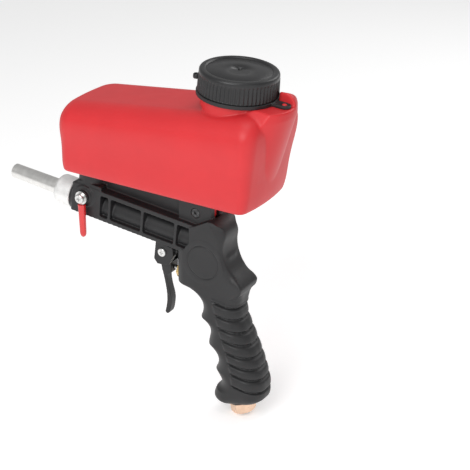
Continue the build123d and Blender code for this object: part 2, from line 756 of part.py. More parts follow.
with BuildPart() as valve_spring:
    spring_length = valve_bore_end - poppet_rear - 2 * spring_wire - 0.2
    with BuildLine():
        coil = Helix(pitch=spring_length / spring_turns, height=spring_length, radius=spring_radius,
                     center=stem_tip + rearward * (poppet_rear + spring_wire + 0.1), direction=rearward)
    with BuildSketch(Plane(origin=coil @ 0, z_dir=coil % 0)):
        Circle(spring_wire)
    sweep(path=coil, is_frenet=True)
save(valve_spring, "valve_spring")

# ---- Air inlet ------------------------------------------------------------------------------
with BuildPart() as inlet_fitting:
    with BuildSketch(up_inlet(0)):
        RegularPolygon(inlet_flat / 2, 6, major_radius=False)
    extrude(amount=inlet_hex_height)
    with BuildSketch(inlet_side):
        with BuildLine():
            Polyline((0, 0), (inlet_flat / 2 - 0.2, 0), (inlet_flat / 2 + 1.8, 1.4),
                     (inlet_flat / 2 + 1.8, inlet_hex_height), (0, inlet_hex_height), close=True)
        make_face()
    revolve(axis=inlet_axis, mode=Mode.INTERSECT)
    with BuildSketch(up_inlet(inlet_hex_height)):
        Circle(inlet_socket_radius - 0.02)
    extrude(amount=inlet_shank_end - inlet_hex_height)
    with BuildSketch(up_inlet(0)):
        Circle(inlet_thread_radius)
    extrude(amount=inlet_thread_length, mode=Mode.SUBTRACT)
    with BuildSketch(up_inlet(inlet_thread_length)):
        Circle(filter_radius)
    extrude(amount=20, mode=Mode.SUBTRACT)
save(inlet_fitting, "inlet_fitting")

inlet_washer = revolved_about(inlet_side, inlet_axis, (
    (inlet_socket_radius, inlet_hex_height), (inlet_socket_radius + 1.4, inlet_hex_height),
    (inlet_socket_radius + 1.4, grip_foot), (inlet_socket_radius, grip_foot)))
save(inlet_washer, "inlet_washer")

with BuildPart() as inlet_filter:
    with BuildSketch(up_inlet(filter_front)):
        Circle(filter_radius - 0.02)
    extrude(amount=inlet_shank_end - filter_front)
save(inlet_filter, "inlet_filter")


# ---- Hopper ---------------------------------------------------------------------------------
def hopper_section(level, shrink, inset):
    """Rounded section of the hopper: level 0 is its floor and 1 its roof, and the outline is drawn
    in by shrink (the wall) and by inset (the rounding over the floor and roof edges)."""
    slope = floor_slope + (roof_slope - floor_slope) * level
    height = floor_z + (roof_z - floor_z) * level
    height += shrink * (1 - 2 * level) / sqrt(1 + slope * slope)
    front = hopper_front_x - front_rake * (1 - level) + shrink + front_edge_share * inset
    rear = hopper_rear_foot + (hopper_rear_top - hopper_rear_foot) * level - shrink - inset
    half = hopper_half_foot + (hopper_half_top - hopper_half_foot) * min(level / 0.75, 1.0)
    half -= shrink + inset
    corner = max(corner_foot + (corner_top - corner_foot) * level - shrink - 0.3 * inset, 4.0)
    plane = Plane(origin=(0, 0, height), x_dir=(1, 0, slope), z_dir=(-slope, 0, 1))
    with BuildSketch(plane) as section:
        with BuildLine():
            ThreePointArc((rear, -half), (rear + rear_bulge, 0), (rear, half))
            Line((rear, half), (front, half))
            ThreePointArc((front, half), (front - front_bulge, 0), (front, -half))
            Line((front, -half), (rear, -half))
        make_face()
        fillet(section.vertices(), corner)
    return section.sketch


def hopper_form(shrink):
    """Closed form of the hopper's outside (shrink 0) or of its cavity (shrink = wall)."""
    depth = roof_z - floor_z
    sections = []
    for angle in (0, 35, 65, 90):
        rise = floor_round * (1 - cos(radians(angle))) / depth
        sections.append(hopper_section(rise, shrink, floor_round * (1 - sin(radians(angle)))))
    for level in (0.3, 0.5):
        sections.append(hopper_section(level, shrink, 0))
    for angle in (90, 70, 50, 30, 12, 0):
        drop = roof_round * (1 - cos(radians(angle))) / depth
        sections.append(hopper_section(1 - drop, shrink, roof_round * (1 - sin(radians(angle)))))
    with BuildPart() as form:
        loft(sections)
    return form


hopper_outside = hopper_form(0)
hopper_cavity = hopper_form(wall)

# Round column that leans out of the rear wall, its top edge rounded over
with BuildPart() as boss_column:
    with BuildSketch(Plane.XY.offset(boss_foot_z)):
        with Locations((boss_foot_x - boss_plan_radius, 0)):
            Circle(boss_plan_radius)
    with BuildSketch(Plane.XY.offset(boss_wall_top_z)):
        with Locations((boss_rear_x - boss_plan_radius, 0)):
            Circle(boss_plan_radius)
    loft()
    with BuildSketch(Plane.XY.offset(boss_wall_top_z)):
        with Locations((boss_rear_x - boss_plan_radius, 0)):
            Circle(boss_plan_radius)
    extrude(amount=boss_top_z + 1 - boss_wall_top_z)
    fillet(boss_column.edges().group_by(Axis.Z)[-1], boss_shoulder)

with BuildPart() as strap_boss:
    with BuildSketch(Plane.YZ.offset(boss_front_x)):
        with Locations((0, boss_top_z - boss_radius)):
            Circle(boss_radius)
        with Locations((0, (boss_foot_z + boss_top_z - boss_radius) / 2)):
            Rectangle(2 * boss_radius, boss_top_z - boss_radius - boss_foot_z)
    extrude(amount=boss_rear_x)
    add(boss_column.part, mode=Mode.INTERSECT)
    with BuildSketch(under_cap(ring_top + 0.3 + strap_thickness + 0.05)):
        with BuildLine():
            Polyline((0, -40), (60, -40), (60, -3), (strap_reach + strap_half_width, strap_half_width + 0.6),
                     (0, strap_half_width + 0.6), close=True)
        make_face()
    extrude(amount=40, mode=Mode.SUBTRACT)
    with BuildSketch(under_cap(ring_foot + 0.05)):
        Circle(ring_radius + 0.6)
    extrude(amount=40, mode=Mode.SUBTRACT)

with BuildPart() as hopper_moulding:
    add(hopper_outside.part)
    # Keel under the floor and rear lug for the fork
    with BuildSketch(Plane.XZ):
        with BuildLine():
            Polyline((-112, floor_z + 4), (-112, floor_z), (-108, floor_z - keel_depth),
                     (4, floor_z - keel_depth), (8, floor_z), (8, floor_z + 4), close=True)
        make_face()
    extrude(amount=keel_half_width, both=True)
    with BuildSketch(Plane.XZ):
        with BuildLine():
            Polyline((fork_front_x + 2, floor_z), (fork_front_x + 2, lug_foot_z + 1),
                     (fork_rear_x - 2, lug_foot_z), (fork_rear_x - 2, floor_z), close=True)
        make_face()
    extrude(amount=fork_slot_half - 0.3, both=True)
    # Neck with the shoulder under the tether's ring
    with BuildSketch(under_cap(neck_rim)):
        Circle(neck_radius)
    extrude(amount=-(neck_foot - neck_rim))
    with BuildSketch(under_cap(ring_foot)):
        Circle(shoulder_radius)
    extrude(amount=-(neck_foot - ring_foot))
    # Arched boss behind the neck, flattened where the strap lies
    add(strap_boss.part)
    with BuildSketch(under_cap(ring_top - 0.3)):
        with Locations((strap_reach, 0)):
            Circle(peg_radius)
    extrude(amount=-6)
    # Cavity, neck bore, the spout's hole and the lug's cross hole
    add(hopper_cavity.part, mode=Mode.SUBTRACT)
    with BuildSketch(under_cap(neck_rim - 1)):
        Circle(neck_bore_radius)
    extrude(amount=-(neck_foot - neck_rim + neck_bore_overrun), mode=Mode.SUBTRACT)
    with BuildSketch(square_to_bore(spout_end)):
        Circle(spout_radius + 0.02)
    extrude(amount=spout_top - spout_end + 4, mode=Mode.SUBTRACT)
    with BuildSketch(facing_side(mount_screw_x, mount_screw_z)):
        Circle(mount_screw_radius + 0.1)
    extrude(amount=20, both=True, mode=Mode.SUBTRACT)

# The moulding's three stretches: the shell, and the collars round its two openings
with BuildPart() as neck_zone:
    with BuildSketch(under_cap(0)):
        Circle(neck_zone_radius)
    extrude(amount=-neck_zone_depth)

with BuildPart() as spout_zone:
    with BuildSketch(square_to_bore(spout_end)):
        Circle(spout_zone_radius)
    extrude(amount=spout_top - spout_end)

with BuildPart() as hopper:
    add(hopper_moulding.part)
    add(neck_zone.part, mode=Mode.SUBTRACT)
    add(spout_zone.part, mode=Mode.SUBTRACT)
save(hopper, "hopper")

with BuildPart() as hopper_neck:
    add(hopper_moulding.part)
    add(neck_zone.part, mode=Mode.INTERSECT)
save(hopper_neck, "hopper_neck")

with BuildPart() as spout_collar:
    add(hopper_moulding.part)
    add(spout_zone.part, mode=Mode.INTERSECT)
save(spout_collar, "spout_collar")

spout_side = Plane(origin=on_bore(spool_station), x_dir=off_bore, z_dir=(0, -1, 0))
spout_axis = Axis(on_bore(spool_station), off_bore)
hopper_spout = revolved_about(spout_side, spout_axis, (
    (spout_end, spout_bore_radius), (spout_end, spout_radius), (spout_top, spout_radius),
    (spout_top, spout_bore_radius + 0.8), (spout_top - 0.8, spout_bore_radius)))
save(hopper_spout, "hopper_spout")

hopper_outlet_seal = revolved_about(spout_side, spout_axis, (
    (socket_floor, spout_bore_radius), (socket_floor, spout_radius), (spout_end, spout_radius),
    (spout_end, spout_bore_radius)))
save(hopper_outlet_seal, "hopper_outlet_seal")

with BuildPart() as rear_mount_screw:
    with BuildSketch(facing_side(mount_screw_x, mount_screw_z, -mount_head_seat)):
        Circle(mount_head_radius)
    extrude(amount=1.9)
    with BuildSketch(facing_side(mount_screw_x, mount_screw_z, -mount_head_seat - 0.9)):
        RegularPolygon(1.25, 6, major_radius=False)
    extrude(amount=2, mode=Mode.SUBTRACT)
    with BuildSketch(facing_side(mount_screw_x, mount_screw_z, fork_half_width)):
        Circle(mount_screw_radius - 0.02)
    extrude(amount=fork_half_width + mount_head_seat)
save(rear_mount_screw, "rear_mount_screw")

with BuildPart() as rear_mount_nut:
    with BuildSketch(facing_side(mount_screw_x, mount_screw_z, mount_nut_seat)):
        RegularPolygon(mount_nut_flat / 2, 6, major_radius=False)
        Circle(mount_screw_radius, mode=Mode.SUBTRACT)
    extrude(amount=-2.6)
save(rear_mount_nut, "rear_mount_nut")

# ---- Cap, liner and tether ------------------------------------------------------------------
with BuildPart() as cap:
    with BuildSketch(cap_side):
        with BuildLine():
            Polyline((0, 0.5), (cap_recess_radius, 0.5), (cap_recess_radius, 0), (cap_radius_top - 1.2, 0),
                     (cap_radius_top, 1.2), (cap_radius_foot, cap_depth), (cap_bore_radius, cap_depth),
                     (cap_bore_radius, cap_plate), (0, cap_plate), close=True)
        make_face()
    revolve(axis=Axis(cap_top, cap_axis))
    with BuildSketch(under_cap(cap_depth)):
        with PolarLocations(cap_radius_foot - 0.3, cap_ribs):
            Rectangle(1.8, 1.1)
    extrude(amount=cap_rib_height, taper=1)
    with BuildSketch(under_cap(cap_depth - 6)):
        with PolarLocations(cap_radius_foot + 1.4, 1, start_angle=cap_eye_angle):
            Circle(2.4)
            Rectangle(3, 4.8)
        with PolarLocations(cap_radius_foot + 1.6, 1, start_angle=cap_eye_angle):
            Circle(1.1, mode=Mode.SUBTRACT)
    extrude(amount=4)
    with BuildSketch(under_cap(-1)):
        Circle(vent_radius)
    extrude(amount=-6, mode=Mode.SUBTRACT)
save(cap, "cap")

with BuildPart() as cap_liner:
    with BuildSketch(under_cap(cap_plate)):
        Circle(cap_bore_radius - 0.3)
        Circle(vent_radius, mode=Mode.SUBTRACT)
    extrude(amount=-liner_thickness)
save(cap_liner, "cap_liner")

with BuildPart() as cap_tether:
    with BuildSketch(under_cap(ring_top)):
        Circle(ring_radius)
    extrude(amount=-(ring_foot - ring_top))
    with BuildSketch(under_cap(ring_top + 0.3)):
        with Locations(((ring_radius + strap_reach) / 2 - 1, 0)):
            Rectangle(strap_reach - ring_radius + 2, 2 * strap_half_width)
        with Locations((strap_reach, 0)):
            Circle(strap_half_width)
    extrude(amount=-strap_thickness)
    with BuildSketch(under_cap(ring_top - 1)):
        Circle(neck_radius + 0.1)
        with Locations((strap_reach, 0)):
            Circle(peg_radius + 0.1)
    extrude(amount=-10, mode=Mode.SUBTRACT)
save(cap_tether, "cap_tether")
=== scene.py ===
"""Looks of a gravity-feed abrasive blasting gun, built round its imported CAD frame.

Metres, +Z up, +X to the rear, the media lever on the -Y side. Lengths written as `n * MM` are millimetres.
"""

from math import cos, pi, radians, sin

import bmesh
import bpy
import numpy as np
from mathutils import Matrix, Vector


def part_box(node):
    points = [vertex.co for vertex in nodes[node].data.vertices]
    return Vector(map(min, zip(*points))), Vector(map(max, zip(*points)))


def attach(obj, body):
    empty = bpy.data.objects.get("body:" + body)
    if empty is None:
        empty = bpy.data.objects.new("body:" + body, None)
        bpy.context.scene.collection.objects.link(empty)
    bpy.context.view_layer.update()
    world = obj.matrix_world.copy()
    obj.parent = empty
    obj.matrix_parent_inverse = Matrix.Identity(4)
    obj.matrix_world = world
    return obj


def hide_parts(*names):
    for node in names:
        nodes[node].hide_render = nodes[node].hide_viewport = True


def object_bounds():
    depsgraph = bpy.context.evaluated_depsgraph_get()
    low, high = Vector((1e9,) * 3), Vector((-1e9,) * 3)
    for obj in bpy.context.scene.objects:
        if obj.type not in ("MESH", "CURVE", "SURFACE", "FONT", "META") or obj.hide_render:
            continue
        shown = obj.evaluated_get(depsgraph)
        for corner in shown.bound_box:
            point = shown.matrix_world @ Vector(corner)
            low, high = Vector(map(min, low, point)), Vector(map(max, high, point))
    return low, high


MM = 0.001

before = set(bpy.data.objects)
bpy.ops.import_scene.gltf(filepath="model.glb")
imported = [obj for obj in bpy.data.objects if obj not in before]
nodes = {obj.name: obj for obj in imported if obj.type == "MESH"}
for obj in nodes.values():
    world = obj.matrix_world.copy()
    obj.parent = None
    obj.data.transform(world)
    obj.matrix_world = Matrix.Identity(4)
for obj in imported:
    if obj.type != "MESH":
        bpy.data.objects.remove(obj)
cad_low, cad_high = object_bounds()


# ---- Directions shared by the pieces ---------------------------------------------------------
def leaning(degrees):
    """Unit vector along +Z after leaning it to the rear by an angle."""
    return np.array([sin(radians(degrees)), 0.0, cos(radians(degrees))])


BARREL_TILT = 6.5
CAP_TILT = 4.9
INLET_LEAN = 13.2
BORE_UP = leaning(BARREL_TILT)
REARWARD = np.array([BORE_UP[2], 0.0, -BORE_UP[0]])
CAP_UP = leaning(CAP_TILT)
CAP_BACK = np.array([CAP_UP[2], 0.0, -CAP_UP[0]])
INLET_IN = leaning(-INLET_LEAN)
MUZZLE = np.array([-212.4, 0.0, 155.7]) * MM
CAP_TOP = np.array([-4.3, 0.0, 274.1]) * MM
THREAD_PITCH = 5.0            # of the cap's thread, in millimetres
STRAP_REACH = 37.0            # from the cap's axis to the strap's peg, in millimetres


# ---- Camera, lights and floor ----------------------------------------------------------------
def look(azimuth, elevation):
    """Unit vector from the object towards a viewer."""
    a, e = radians(azimuth), radians(elevation)
    return Vector((sin(a) * cos(e), -cos(a) * cos(e), sin(e)))


CENTRE = Vector((-8.2, 0.0, 146.9)) * MM
camera_data = bpy.data.cameras.new("camera")
camera_data.sensor_width = 36.0
camera_data.lens = 99.57
camera = bpy.data.objects.new("camera", camera_data)
camera.location = CENTRE + look(30.565, 25.008) * 0.950785
camera.rotation_mode = "QUATERNION"
camera.rotation_quaternion = (-look(30.565, 25.008)).to_track_quat("-Z", "Y")
bpy.context.scene.collection.objects.link(camera)
bpy.context.scene.camera = camera


def softbox(name, azimuth, elevation, distance, size, watts, tint=(1.0, 1.0, 1.0)):
    """Square area light that faces the object from a direction."""
    data = bpy.data.lights.new(name, "AREA")
    data.shape = "SQUARE"
    data.size = size
    data.energy = watts
    data.color = tint
    lamp = bpy.data.objects.new(name, data)
    lamp.location = CENTRE + look(azimuth, elevation) * distance
    lamp.rotation_mode = "QUATERNION"
    lamp.rotation_quaternion = (-look(azimuth, elevation)).to_track_quat("-Z", "Y")
    bpy.context.scene.collection.objects.link(lamp)


softbox("key", 2, 34, 1.1, 0.7, 7)
softbox("fill", 62, 12, 1.2, 0.6, 1)
softbox("top", 20, 80, 1.1, 0.6, 2.5)
softbox("rim", 165, 35, 1.2, 0.6, 3)

world = bpy.data.worlds.new("studio")
world.use_nodes = True
world.node_tree.nodes["Background"].inputs["Color"].default_value = (1.0, 1.0, 1.0, 1.0)
world.node_tree.nodes["Background"].inputs["Strength"].default_value = 0.42
bpy.context.scene.world = world
bpy.context.scene.view_settings.view_transform = "Standard"


# ---- Materials -------------------------------------------------------------------------------
class Look:
    """A node material under construction; its coordinates are the row's own metres."""

    def __init__(self, name, color, roughness, metallic=0.0):
        self.material = bpy.data.materials.new(name)
        self.material.use_nodes = True
        self.tree = self.material.node_tree
        self.shader = self.tree.nodes["Principled BSDF"]
        self.place = self.add("ShaderNodeTexCoord").outputs["Object"]
        self.shader.inputs["Base Color"].default_value = (*color, 1.0)
        self.shader.inputs["Roughness"].default_value = roughness
        self.shader.inputs["Metallic"].default_value = metallic
        self.color = color
        self.roughness = roughness
        self.height = None

    def add(self, kind, **settings):
        node = self.tree.nodes.new(kind)
        for key, value in settings.items():
            setattr(node, key, value)
        return node

    def join(self, source, target):
        self.tree.links.new(source, target)

    def noise(self, feature, detail=3.0, stretch=None):
        """Noise output whose features are about `feature` metres wide."""
        node = self.add("ShaderNodeTexNoise")
        node.inputs["Scale"].default_value = 1.0 / feature
        node.inputs["Detail"].default_value = detail
        place = self.place
        if stretch is not None:
            mapping = self.add("ShaderNodeMapping")
            mapping.inputs["Rotation"].default_value = (0.0, -radians(stretch[0]), 0.0)
            mapping.inputs["Scale"].default_value = stretch[1]
            self.join(place, mapping.inputs["Vector"])
            place = mapping.outputs["Vector"]
        self.join(place, node.inputs["Vector"])
        return node.outputs["Fac"]

    def spread(self, value, low, high, start=0.35, end=0.65):
        node = self.add("ShaderNodeMapRange")
        node.inputs["From Min"].default_value = start
        node.inputs["From Max"].default_value = end
        node.inputs["To Min"].default_value = low
        node.inputs["To Max"].default_value = high
        self.join(value, node.inputs["Value"])
        return node.outputs["Result"]

    def tone(self, value, dark, light):
        """Base colour that wanders between two shades of it."""
        node = self.add("ShaderNodeMix", data_type="RGBA")
        node.inputs["A"].default_value = (*(c * dark for c in self.color), 1.0)
        node.inputs["B"].default_value = (*(min(c * light, 1.0) for c in self.color), 1.0)
        self.join(self.spread(value, 0.0, 1.0), node.inputs["Factor"])
        self.join(node.outputs["Result"], self.shader.inputs["Base Color"])
        return self

    def gloss(self, value, swing):
        self.join(self.spread(value, self.roughness - swing, self.roughness + swing),
                  self.shader.inputs["Roughness"])
        return self

    def relief(self, value, depth, strength=1.0):
        """Bump of a depth in metres, laid over the bumps already there."""
        node = self.add("ShaderNodeBump")
        node.inputs["Strength"].default_value = strength
        node.inputs["Distance"].default_value = depth
        self.join(value, node.inputs["Height"])
        if self.height is not None:
            self.join(self.height, node.inputs["Normal"])
        self.height = node.outputs["Normal"]
        self.join(self.height, self.shader.inputs["Normal"])
        return self


def moulded(name, color, roughness, grain=0.5 * MM, depth=0.03 * MM, specular=0.4, swing=0.1):
    """Moulded plastic: spark-eroded grain, faint flow marks and hand-rubbed patches."""
    made = Look(name, color, roughness)
    made.tone(made.noise(22 * MM), 1 - swing, 1 + swing)
    made.gloss(made.noise(9 * MM, 5.0), 0.4 * swing)
    made.relief(made.noise(grain, 2.0), depth)
    made.shader.inputs["Specular IOR Level"].default_value = specular
    return made


def turned(name, color, roughness, lean, pitch=0.12 * MM, depth=0.004 * MM):
    """Lathe-turned metal: fine rings square to an axis in the middle plane, and light smudges."""
    made = Look(name, color, roughness, 1.0)
    made.relief(made.noise(pitch, 1.0, (lean, (1.0, 0.01, 0.01))), depth)
    made.gloss(made.noise(6 * MM, 4.0), 0.05)
    made.tone(made.noise(3 * MM, 4.0, (lean, (1.0, 0.3, 0.3))), 0.93, 1.04)
    return made


body_black = moulded("body_black", (0.017, 0.017, 0.018), 0.46)
trigger_black = moulded("trigger_black", (0.017, 0.017, 0.018), 0.42, 0.45 * MM, 0.02 * MM)
cap_black = moulded("cap_black", (0.019, 0.019, 0.020), 0.34, 0.4 * MM, 0.015 * MM)
tether_black = moulded("tether_black", (0.018, 0.018, 0.019), 0.5, 0.5 * MM, 0.02 * MM)
hopper_red = moulded("hopper_red", (0.60, 0.026, 0.031), 0.42, 0.9 * MM, 0.012 * MM, 0.35, 0.025)
hopper_red.shader.inputs["Subsurface Weight"].default_value = 0.08
hopper_red.shader.inputs["Subsurface Radius"].default_value = (1.0, 0.25, 0.2)
hopper_red.shader.inputs["Subsurface Scale"].default_value = 2 * MM
sleeve_red = moulded("sleeve_red", (0.62, 0.012, 0.014), 0.2, 2 * MM, 0.01 * MM, 0.6)
sleeve_red.shader.inputs["Coat Weight"].default_value = 0.4
seat_nylon = moulded("seat_nylon", (0.80, 0.78, 0.70), 0.4)
seal_rubber = moulded("seal_rubber", (0.018, 0.018, 0.018), 0.65, 0.6 * MM, 0.03 * MM)
liner_rubber = moulded("liner_rubber", (0.58, 0.56, 0.52), 0.8, 0.5 * MM, 0.08 * MM)

nozzle_steel = turned("nozzle_steel", (0.80, 0.79, 0.77), 0.34, -BARREL_TILT)
bright_steel = turned("bright_steel", (0.70, 0.70, 0.69), 0.26, 0, 0.2 * MM)
stem_steel = turned("stem_steel", (0.66, 0.66, 0.65), 0.18, -BARREL_TILT)
valve_brass = turned("valve_brass", (0.86, 0.62, 0.26), 0.24, -BARREL_TILT)
inlet_brass = turned("inlet_brass", (0.85, 0.60, 0.44), 0.3, 90 - INLET_LEAN, 0.25 * MM)
tube_aluminium = turned("tube_aluminium", (0.75, 0.75, 0.74), 0.3, -BARREL_TILT)

collar_aluminium = Look("collar_aluminium", (0.86, 0.86, 0.85), 0.5, 0.85)
collar_aluminium.relief(collar_aluminium.noise(0.25 * MM, 2.0), 0.02 * MM)
collar_aluminium.gloss(collar_aluminium.noise(4 * MM, 5.0), 0.08)
collar_aluminium.tone(collar_aluminium.noise(5 * MM, 5.0), 0.94, 1.04)

screw_black = Look("screw_black", (0.06, 0.06, 0.062), 0.4, 0.7)
screw_black.relief(screw_black.noise(0.4 * MM, 3.0), 0.02 * MM)
screw_black.tone(screw_black.noise(1.5 * MM, 4.0), 0.7, 1.5)

filter_bronze = Look("filter_bronze", (0.50, 0.33, 0.18), 0.6, 0.9)
# Voronoi cells: the bumps of the sintered grains, and painted shade in the hollows between them
grain_bumps_and_pore_shade = filter_bronze.add("ShaderNodeTexVoronoi")
grain_bumps_and_pore_shade.inputs["Scale"].default_value = 1.0 / (0.45 * MM)
filter_bronze.join(filter_bronze.place, grain_bumps_and_pore_shade.inputs["Vector"])
filter_bronze.relief(grain_bumps_and_pore_shade.outputs["Distance"], -0.25 * MM)
# Painted shade: each cell's colour darkens to half towards its edge, where the bump sinks into the hollows
# between the grains
filter_bronze.tone(grain_bumps_and_pore_shade.outputs["Distance"], 1.1, 0.5)

floor_white = Look("floor_white", (0.96, 0.96, 0.96), 0.85)
floor_white.shader.inputs["Emission Color"].default_value = (1.0, 1.0, 1.0, 1.0)
floor_white.shader.inputs["Emission Strength"].default_value = 0.3
floor_white.relief(floor_white.noise(3 * MM, 3.0), 0.02 * MM, 0.3)

MOULDING = ("gun_body", "valve_housing", "hopper_socket", "nozzle_spigot", "pistol_grip", "grip_heel")
HOPPER = ("hopper", "hopper_neck", "spout_collar")
finishes = {
    **dict.fromkeys(MOULDING, body_black), **dict.fromkeys(HOPPER, hopper_red),
    "hopper_spout": hopper_red, "trigger": trigger_black, "cap": cap_black,
    "cap_tether": tether_black, "cap_liner": liner_rubber, "lever_sleeve": sleeve_red,
    "nozzle": nozzle_steel, "nozzle_collar": collar_aluminium, "nozzle_seal": seal_rubber,
    "air_jet": valve_brass, "air_tube": tube_aluminium, "feed_valve_spool": bright_steel,
    "spool_rings": seal_rubber, "spool_clip": bright_steel, "feed_lever": bright_steel,
    "lever_washer": bright_steel, "lever_screw": bright_steel, "trigger_pivot_pin": bright_steel,
    "pivot_clip": bright_steel, "valve_stem": stem_steel, "stem_gland": valve_brass,
    "stem_ring": seal_rubber, "valve_seat": seat_nylon, "valve_spring": bright_steel,
    "inlet_fitting": inlet_brass, "inlet_washer": seal_rubber, "inlet_filter": filter_bronze,
    "hopper_outlet_seal": seal_rubber, "rear_mount_screw": screw_black,
    "rear_mount_nut": bright_steel,
}
for name, node in nodes.items():
    node.data.materials.clear()
    node.data.materials.append(finishes[name].material)


# ---- Helpers for sculpted pieces -------------------------------------------------------------
def points_of(mesh):
    flat = np.empty(len(mesh.vertices) * 3, np.float32)
    mesh.vertices.foreach_get("co", flat)
    return flat.reshape(-1, 3).astype(np.float64)


def set_points(mesh, points):
    mesh.vertices.foreach_set("co", points.astype(np.float32).ravel())
    mesh.update()


def skin_of(parts, name, voxel, softening, finish):
    """Even, closed skin over the form of some CAD nodes, its sharp edges eased, as a new object."""
    joined = bmesh.new()
    for part in parts:
        joined.from_mesh(nodes[part].data)
    form = bpy.data.meshes.new(name)
    joined.to_mesh(form)
    joined.free()
    piece = bpy.data.objects.new(name, form)
    bpy.context.scene.collection.objects.link(piece)
    remesh = piece.modifiers.new("skin", "REMESH")
    remesh.mode = "VOXEL"
    remesh.voxel_size = voxel
    ease = piece.modifiers.new("ease", "SMOOTH")
    ease.factor = 0.5
    ease.iterations = softening
    applied = bpy.data.meshes.new_from_object(piece.evaluated_get(bpy.context.evaluated_depsgraph_get()))
    piece.modifiers.clear()
    piece.data = applied
    applied.name = name
    applied.materials.clear()
    applied.materials.append(finish.material)
    applied.shade_smooth()
    return piece


def settle(points, field, picked, step=0.02 * MM, rounds=4):
    """Moves the picked points along a distance field's slope until they lie on its surface."""
    moving = points[picked]
    for _ in range(rounds):
        value = field(moving)
        slope = np.empty_like(moving)
        for axis in range(3):
            nudge = np.zeros(3)
            nudge[axis] = step
            slope[:, axis] = (field(moving + nudge) - field(moving - nudge)) / (2 * step)
        steepness = np.maximum((slope ** 2).sum(1), 0.2)
        moving = moving - slope * (value / steepness)[:, None]
    return moving


def soften(mesh, points, weight, rounds):
    """Rounds a shape off by drawing each weighted vertex towards the mean of its neighbours."""
    ends = np.empty(len(mesh.edges) * 2, np.int32)
    mesh.edges.foreach_get("vertices", ends)
    one, other = ends.reshape(-1, 2).T
    count = np.bincount(ends, minlength=len(points))[:, None]
    for _ in range(rounds):
        total = np.zeros_like(points)
        for axis in range(3):
            total[:, axis] = (np.bincount(one, points[other, axis], len(points))
                              + np.bincount(other, points[one, axis], len(points)))
        points = points + weight[:, None] * 0.5 * (total / np.maximum(count, 1) - points)
    return points


def ramp(value, start, end):
    """Smooth step from 0 at start to 1 at end."""
    t = np.clip((value - start) / (end - start), 0.0, 1.0)
    return t * t * (3 - 2 * t)


def rounded_max(a, b, radius):
    """The larger of two distances, with an arc of about that radius where they meet."""
    h = np.maximum(radius - np.abs(a - b), 0.0) / radius
    return np.maximum(a, b) + h * h * radius * 0.25


# ---- Gun body --------------------------------------------------------------------------------
# Grip, foot to top, in millimetres: height, half width, corner radius
GRIP = np.array([
    (-4.0, 13.2, 11.0), (8.0, 14.9, 12.6), (20.0, 15.4, 13.2), (35.0, 15.3, 13.2), (52.0, 15.1, 13.0),
    (73.0, 14.5, 12.4), (90.0, 13.5, 11.2), (100.0, 13.0, 9.0), (112.0, 12.8, 8.0)])
# Rear face under the ridges: height and X
REAR = np.array([
    (-4.0, 12.0), (8.0, 17.5), (17.1, 20.8), (21.9, 20.2), (31.8, 18.9), (41.0, 16.4), (50.1, 13.3),
    (60.5, 9.1), (69.9, 4.9), (79.7, 0.6), (88.2, -1.2), (100.0, 1.2), (112.0, 3.0)])
# Front face, one run for each finger, as height and X: the runs meet in points between the fingers
FRONT_RUNS = (
    ((4.5, -14.2), (7.8, -20.3), (14.0, -22.9), (18.9, -21.1)),
    ((18.9, -21.1), (23.9, -16.3), (30.4, -17.6), (36.1, -21.4)),
    ((36.1, -21.4), (44.4, -19.2), (51.9, -22.6), (56.4, -27.8)),
    ((56.4, -27.8), (64.3, -26.4), (72.7, -28.4), (77.3, -34.4)),
    ((77.3, -34.4), (86.2, -32.6), (93.7, -35.8), (98.5, -41.2)))
front_z, front_x = [-4.0], [-14.2]
for run in FRONT_RUNS:
    heights, depths = np.array(run).T
    curve = np.polyfit(heights - heights[0], depths, 3)
    steps = np.linspace(heights[0], heights[-1], 24)
    front_z += list(steps)
    front_x += list(np.polyval(curve, steps - heights[0]))
front_z += [112.0]
front_x += [-43.0]
GROOVES = np.array([90.6, 81.0, 71.7, 62.8, 53.7, 45.3, 37.0, 27.1])
GROOVE_FALL = 0.16
GROOVE_FRONT = ((94.6, 84.3, 75.7, 65.9, 55.6, 46.8, 38.3, 27.7)[::-1],
                (-21.5, -18.4, -15.9, -12.7, -8.9, -6.3, -4.4, -3.1)[::-1])


def grip_field(points):
    """Distance, in metres, to the outside of the grip: negative inside."""
    x, y, z = (points / MM).T
    half, corner = (np.interp(z, GRIP[:, 0], GRIP[:, k]) for k in (1, 2))
    front, rear = np.interp(z, front_z, front_x), np.interp(z, REAR[:, 0], REAR[:, 1])
    inner_x = np.abs(x - (front + rear) / 2) - ((rear - front) / 2 - corner)
    inner_y = np.abs(y) - (half - corner)
    away = np.hypot(np.maximum(inner_x, 0), np.maximum(inner_y, 0))
    away = away + np.minimum(np.maximum(inner_x, inner_y), 0) - corner
    # Ridges between slanted grooves that start behind the fingers and run round the back
    phase = z + GROOVE_FALL * x
    gap = np.min(np.abs(phase[:, None] - GROOVES[None, :]), axis=1)
    cut = 2.2 * np.exp(-(gap / 1.0) ** 2) - 0.9 * np.sin(np.clip(gap / 4.6, 0, 1) * pi / 2) ** 0.8
    start = np.interp(z, *GROOVE_FRONT)
    ends = ramp(x, start - 0.5, start + 2.5) * ramp(phase, 25.2, 26.6) * (1 - ramp(phase, 92, 94.5))
    away = away + cut * ends
    foot = 8.75 - (points / MM) @ INLET_IN
    return rounded_max(away, foot, 9.0) * MM


body = skin_of(MOULDING, "gun_body_moulding", 0.5 * MM, 3, body_black)
points = points_of(body.data)
up_inlet = points @ INLET_IN
off_inlet = np.linalg.norm(points - up_inlet[:, None] * INLET_IN, axis=1)
outer = grip_field(points) > -4.0 * MM
grip = outer & (points[:, 2] < 103 * MM) & ~((off_inlet < 9.6 * MM) & (up_inlet < 30 * MM))
blend = (1 - ramp(points[grip, 2], 96 * MM, 103 * MM))[:, None]
near_socket = up_inlet[grip] < 30 * MM
blend = blend * np.where(near_socket, ramp(off_inlet[grip], 9.6 * MM, 10.6 * MM), 1.0)[:, None]
points[grip] += (settle(points, grip_field, grip) - points[grip]) * blend

